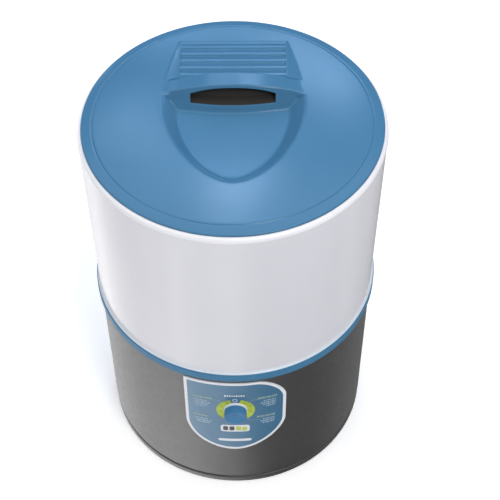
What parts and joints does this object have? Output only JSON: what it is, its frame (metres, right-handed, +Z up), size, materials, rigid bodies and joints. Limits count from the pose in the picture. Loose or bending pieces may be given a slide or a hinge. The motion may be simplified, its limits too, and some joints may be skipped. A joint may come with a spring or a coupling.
{
  "type": "semi-automatic washing machine",
  "caption": "Round top-loading semi-automatic washing machine with a lift-off lid, a belt-driven agitator in a one-piece tub, and a front timer on its lower skirt.",
  "frame": {"origin": "on the floor under the centre of the machine", "axes": "+Z up, the front with the control panel faces -Y, +X to the right when seen from the front"},
  "size_m": [0.5679, 0.601, 0.8502],
  "materials": {
    "lid_blue": "satin moulded plastic",
    "tub_white": "glossy moulded plastic",
    "ring_blue": "glossy moulded plastic",
    "skirt_grey": "satin moulded plastic",
    "foot_rubber": "matt rubber",
    "panel_blue": "printed glossy film on plastic",
    "panel_white": "glossy plastic",
    "scale_green": "printed film",
    "knob_blue": "satin moulded plastic",
    "inner_white": "moulded plastic",
    "nylon": "natural nylon",
    "steel": "zinc-plated steel",
    "frame_paint": "grey baked paint",
    "motor_paint": "dark laminations",
    "cast_alloy": "die-cast, satin",
    "bronze": "sintered bronze",
    "seal_rubber": "nitrile rubber",
    "hose_grey": "soft hose",
    "fitting_plastic": "moulded plastic",
    "black_plastic": "moulded plastic"
  },
  "bodies": {
    "cabinet": {"wash_tub": "tub_white", "trim_ring": "ring_blue", "lower_skirt": "skirt_grey", "base_pan": "skirt_grey", "foot_front_left": "foot_rubber", "foot_front_right": "foot_rubber", "foot_rear_left": "foot_rubber", "foot_rear_right": "foot_rubber", "control_panel": "panel_blue", "panel_border": "panel_white", "dial_scale": "scale_green", "knob_bezel": "panel_white", "timer_case": "nylon", "timer_bracket": "steel", "timer_screws": "steel", "shaft_seal": "seal_rubber", "upper_bush": "bronze", "lower_bush": "bronze", "bearing_housing": "cast_alloy", "housing_bolts": "steel", "drive_belt": "seal_rubber", "motor_stator": "motor_paint", "motor_upper_cover": "cast_alloy", "motor_lower_cover": "cast_alloy", "motor_bolts": "steel", "motor_grommets": "seal_rubber", "drive_frame": "frame_paint", "frame_screws": "steel", "motor_capacitor": "cast_alloy", "capacitor_strap": "steel", "drain_strainer": "steel", "drain_hose": "hose_grey", "hose_clamps": "steel", "drain_spigot": "fitting_plastic", "service_plate": "fitting_plastic", "service_screws": "steel", "cord_gland": "black_plastic", "terminal_block": "nylon", "filter_holder": "inner_white", "body_screws": "steel", "base_screws": "steel", "supply_lead": "black_plastic", "motor_lead": "black_plastic", "lead_clips": "nylon"},
    "lid": {"lid": "lid_blue"},
    "agitator_group": {"agitator": "inner_white", "agitator_cap": "knob_blue", "agitator_bolt": "steel", "drive_shaft": "steel", "driven_pulley": "cast_alloy", "pulley_nut": "steel"},
    "motor_group": {"motor_rotor": "motor_paint", "motor_shaft": "steel", "motor_fan": "nylon", "motor_pulley": "cast_alloy"},
    "timer_group": {"timer_knob": "knob_blue", "timer_shaft": "steel", "timer_cam": "nylon"},
    "filter": {"lint_filter": "knob_blue"}
  },
  "joints": [
    {"name": "lid_lift", "type": "slide", "parent": "cabinet", "child": "lid", "axis": [0, 0, 1], "range_m": [0, 0.35]},
    {"name": "agitator_spin", "type": "hinge", "parent": "cabinet", "child": "agitator_group", "pos_m": [0, 0, 0.35], "axis": [0, 0, 1], "continuous": true},
    {"name": "motor_spin", "type": "hinge", "parent": "cabinet", "child": "motor_group", "pos_m": [0.165, 0, 0.29], "axis": [0, 0, 1], "continuous": true},
    {"name": "timer_turn", "type": "hinge", "parent": "cabinet", "child": "timer_group", "pos_m": [0, -0.29, 0.295], "axis": [0, 1, 0], "range_deg": [0, 330]},
    {"name": "filter_lift", "type": "slide", "parent": "cabinet", "child": "filter", "axis": [0, 0, 1], "range_m": [0, 0.06]}
  ],
  "couplings": [
    {"joint": "motor_spin", "follows": "agitator_spin", "ratio": 4.1915}
  ]
}
